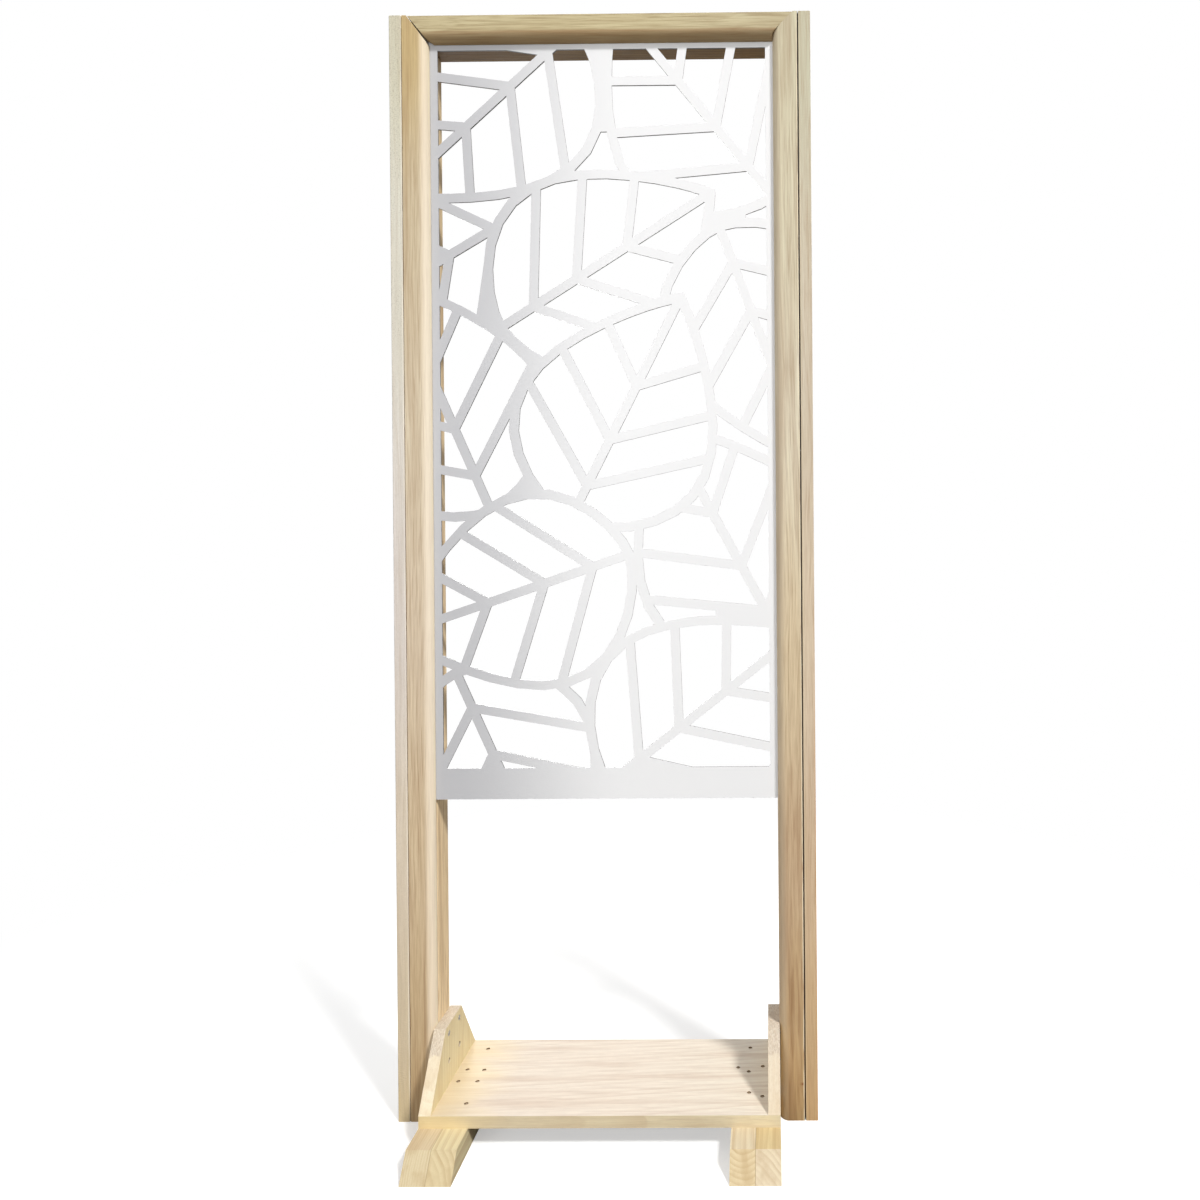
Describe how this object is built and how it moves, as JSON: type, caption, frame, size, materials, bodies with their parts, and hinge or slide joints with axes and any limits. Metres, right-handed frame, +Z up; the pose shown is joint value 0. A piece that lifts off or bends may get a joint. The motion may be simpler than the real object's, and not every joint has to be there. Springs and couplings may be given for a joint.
{
  "type": "room divider",
  "caption": "Free-standing timber screen: a tall frame holds a thin white sheet cut through in a leaf pattern, open below, on a deck with sloping cheeks and foot timbers.",
  "frame": {"origin": "on the floor, under the middle of the width and of the depth", "axes": "+X to the right seen from the front, +Y to the back, +Z up; the front with the rounded battens faces -Y"},
  "size_m": [0.643, 0.322, 1.692],
  "materials": {
    "front_batten_wood": "planed softwood, bare, satin",
    "rear_batten_wood": "planed softwood, bare, darker",
    "grey_sawn_wood": "rough-sawn softwood, dry and greyish",
    "brown_wood": "planed softwood with knots, brownish",
    "base_wood": "fresh pale softwood, saw-cut ends",
    "white_sheet": "hardboard with a smooth white face, satin",
    "screw_steel": "bright zinc plating"
  },
  "bodies": {
    "frame": {"left_side_board": "grey_sawn_wood", "right_side_board": "brown_wood", "left_front_batten": "front_batten_wood", "right_front_batten": "front_batten_wood", "top_front_batten": "front_batten_wood", "left_rear_batten": "rear_batten_wood", "right_rear_batten": "rear_batten_wood", "top_rear_batten": "rear_batten_wood", "deck_board": "base_wood", "left_cheek": "base_wood", "right_cheek": "base_wood", "left_outer_foot": "base_wood", "left_inner_foot": "base_wood", "right_outer_foot": "base_wood", "right_inner_foot": "base_wood", "deck_screws": "screw_steel", "left_cheek_screws": "screw_steel", "right_cheek_screws": "screw_steel", "cheek_base_screws": "screw_steel", "side_board_screws": "screw_steel", "top_corner_screws": "screw_steel", "batten_pins": "screw_steel"},
    "panel": {"leaf_panel": "white_sheet"}
  },
  "joints": [
    {"name": "panel_slide", "type": "slide", "parent": "frame", "child": "panel", "axis": [0, 0, -1], "range_m": [0, 0.345]}
  ]
}
